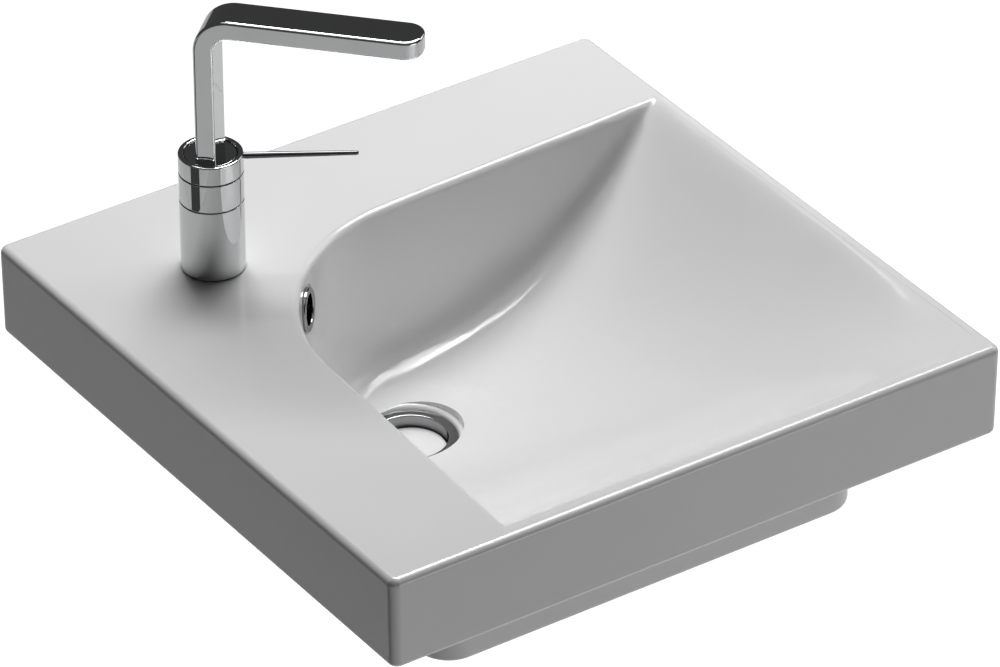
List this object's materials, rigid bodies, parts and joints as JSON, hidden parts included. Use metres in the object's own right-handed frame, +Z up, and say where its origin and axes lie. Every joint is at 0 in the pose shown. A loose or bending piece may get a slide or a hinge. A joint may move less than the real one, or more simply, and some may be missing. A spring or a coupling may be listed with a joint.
{
  "type": "washbasin",
  "caption": "Square white ceramic washbasin with a corner bowl sloping up to the front and right edges, a chrome flat-spout mixer tap, an overflow ring and a push-open waste.",
  "frame": {"origin": "on the wall plane, midway between the two wall fixing holes in the back of the basin", "axes": "+X to the user's right along the wall, +Y into the wall, +Z up; the front of the basin faces -Y"},
  "size_m": [0.4598, 0.4599, 0.3966],
  "materials": {
    "ceramic": "gloss",
    "plug_ceramic": "gloss",
    "chrome": "polished",
    "brass": "turned",
    "steel": "zinc plated",
    "valve_ceramic": "lapped",
    "rubber": "matt",
    "black_plastic": "matt",
    "grey_plastic": "moulded"
  },
  "bodies": {
    "basin": {"basin_ceramic": "ceramic", "overflow_ring": "chrome", "overflow_gasket": "rubber", "tap_base_gasket": "rubber", "tap_body": "chrome", "cartridge_housing": "grey_plastic", "fixed_disc": "valve_ceramic", "cartridge_nut": "brass", "shadow_ring": "black_plastic", "shroud_ring": "chrome", "glide_ring": "black_plastic", "riser_tube": "brass", "spout_base": "chrome", "spout_seals": "rubber", "spout": "chrome", "aerator_housing": "chrome", "aerator_insert": "grey_plastic", "aerator_seal": "rubber", "fixing_stud": "steel", "horseshoe_gasket": "rubber", "horseshoe_plate": "steel", "stud_nut": "steel", "waste_body": "chrome", "waste_seal": "rubber", "lower_seal": "rubber", "slip_washer": "grey_plastic", "back_nut": "brass", "click_barrel": "brass"},
    "control": {"control_collar": "chrome", "lever_rod": "chrome", "drive_sleeve": "brass", "turning_disc": "valve_ceramic"},
    "plug": {"plug_cap": "plug_ceramic", "plug_seal": "rubber", "plug_carrier": "brass"}
  },
  "joints": [
    {"name": "control_turn", "type": "hinge", "parent": "basin", "child": "control", "pos_m": [-0.128, -0.099, 0.115], "axis": [0, 0, 1], "range_deg": [-100, 0]},
    {"name": "plug_lift", "type": "slide", "parent": "basin", "child": "plug", "axis": [0, 0, 1], "range_m": [0, 0.008]}
  ]
}
